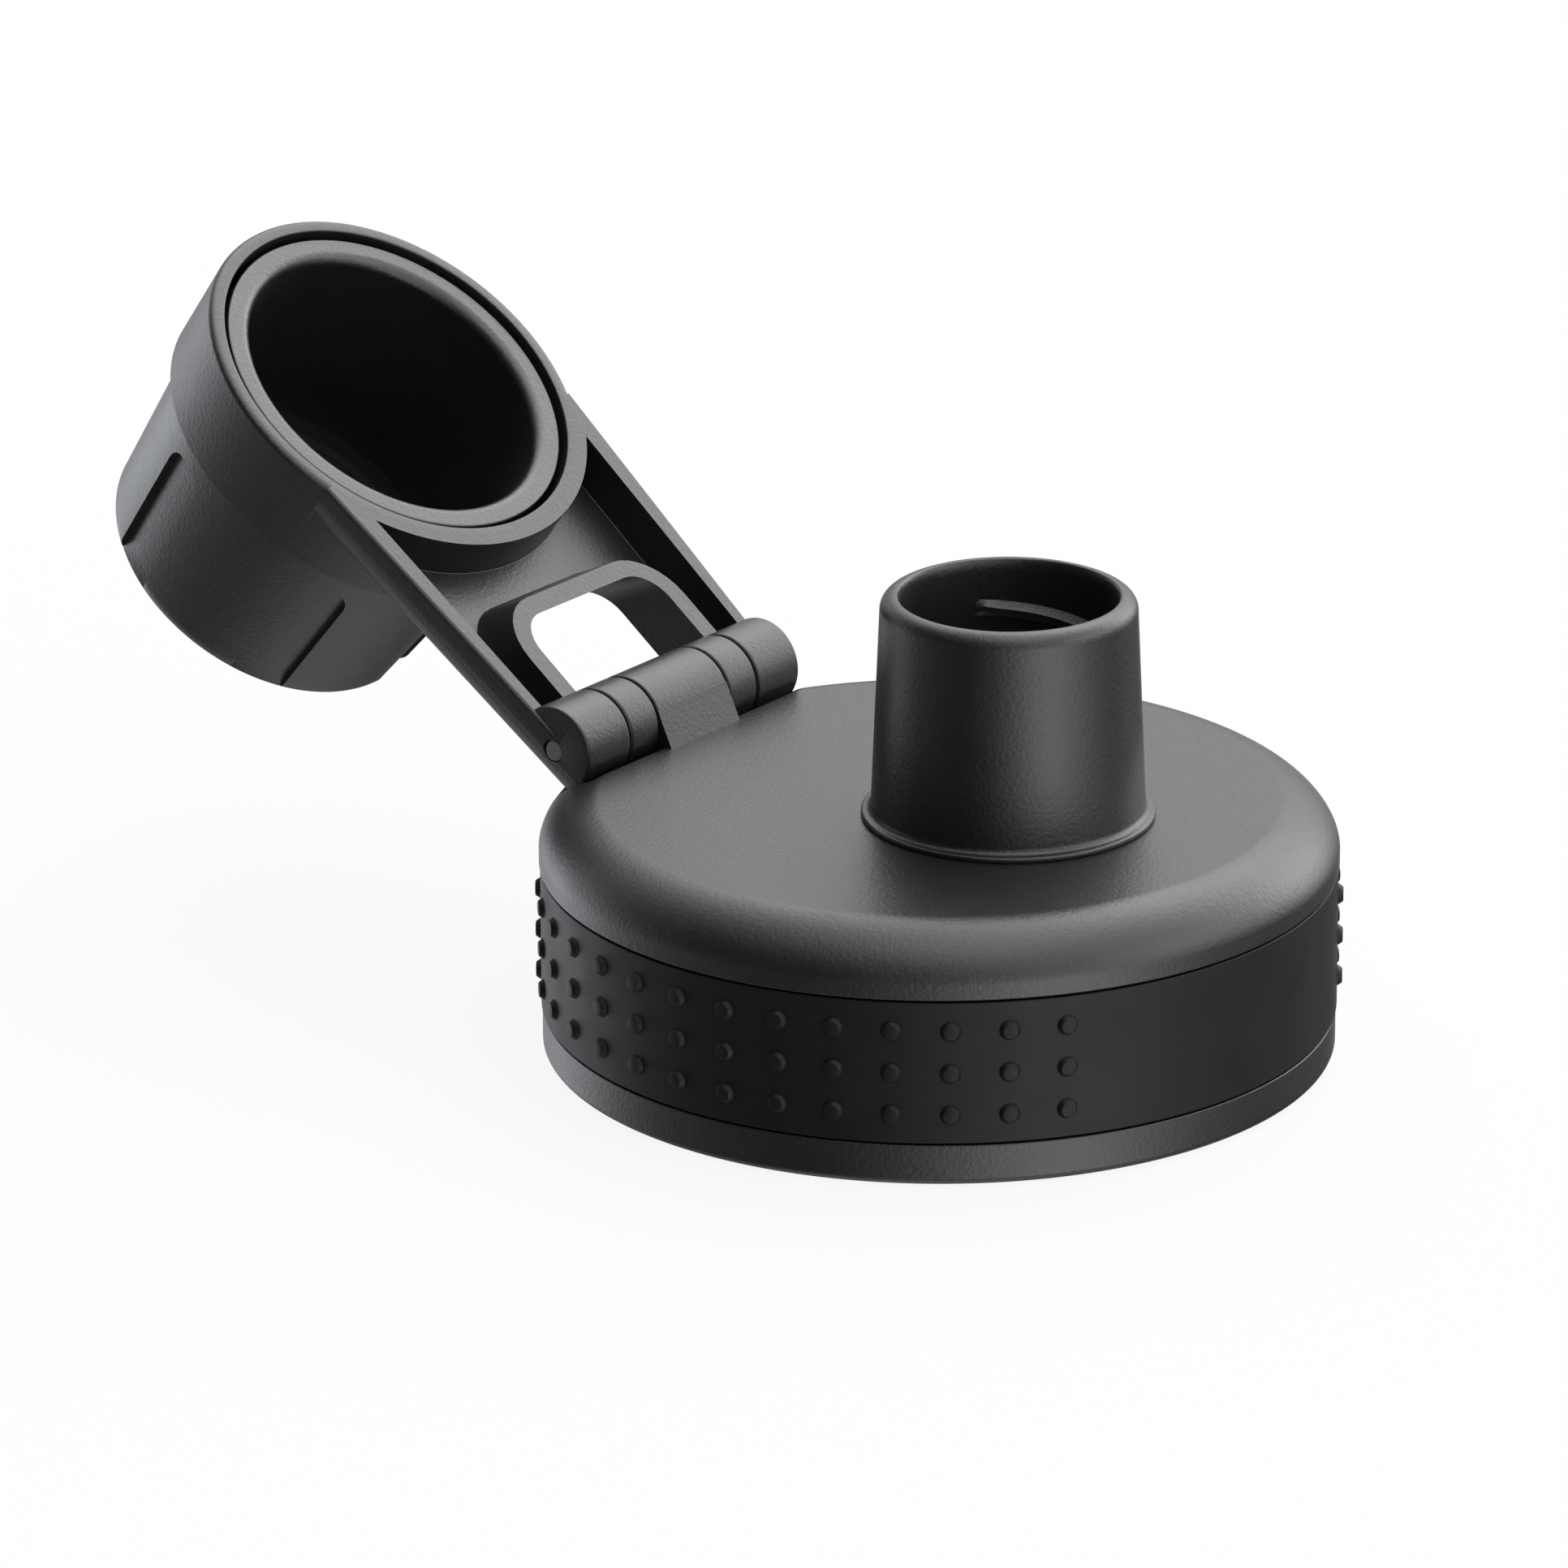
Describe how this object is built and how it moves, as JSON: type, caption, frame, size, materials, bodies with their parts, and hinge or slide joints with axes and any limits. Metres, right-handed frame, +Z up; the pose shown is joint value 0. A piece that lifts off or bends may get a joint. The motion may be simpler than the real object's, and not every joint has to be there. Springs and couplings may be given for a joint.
{
  "type": "spout lid",
  "caption": "Round screw-on bottle lid with an upright drinking spout, a studded grip band and a twist cap held by a hinged strap.",
  "frame": {"origin": "centre of the lid's bottom rim, on the axis of the socket for the bottle's neck", "axes": "+Z up along the lid's axis, +Y towards the hinge, +X along the hinge, the spout in front at -Y"},
  "size_m": [0.0706, 0.1238, 0.0604],
  "materials": {
    "shell": "fine grained charcoal",
    "band": "matte black",
    "spout": "fine grained charcoal",
    "liner": "smooth black",
    "strap": "satin charcoal",
    "cap": "fine grained charcoal",
    "pin": "plain steel",
    "seal": "grey silicone"
  },
  "bodies": {
    "lid": {"lid_shell": "shell", "grip_band": "band", "spout": "spout", "spout_seal": "seal", "neck_liner": "liner", "neck_gasket": "seal", "hinge_ring_left": "strap", "hinge_ring_right": "strap"},
    "strap": {"cap_strap": "strap", "hinge_pin": "pin"},
    "cap": {"twist_cap": "cap", "cap_plug": "cap", "cap_seal": "seal"}
  },
  "joints": [
    {"name": "strap_hinge", "type": "hinge", "parent": "lid", "child": "strap", "pos_m": [0, 0.0311, 0.0246], "axis": [1, 0, 0], "range_deg": [0, 142.35]},
    {"name": "cap_twist", "type": "hinge", "parent": "strap", "child": "cap", "pos_m": [0, 0.06166, 0.04818], "axis": [0, -0.6108, 0.7918], "continuous": true}
  ]
}
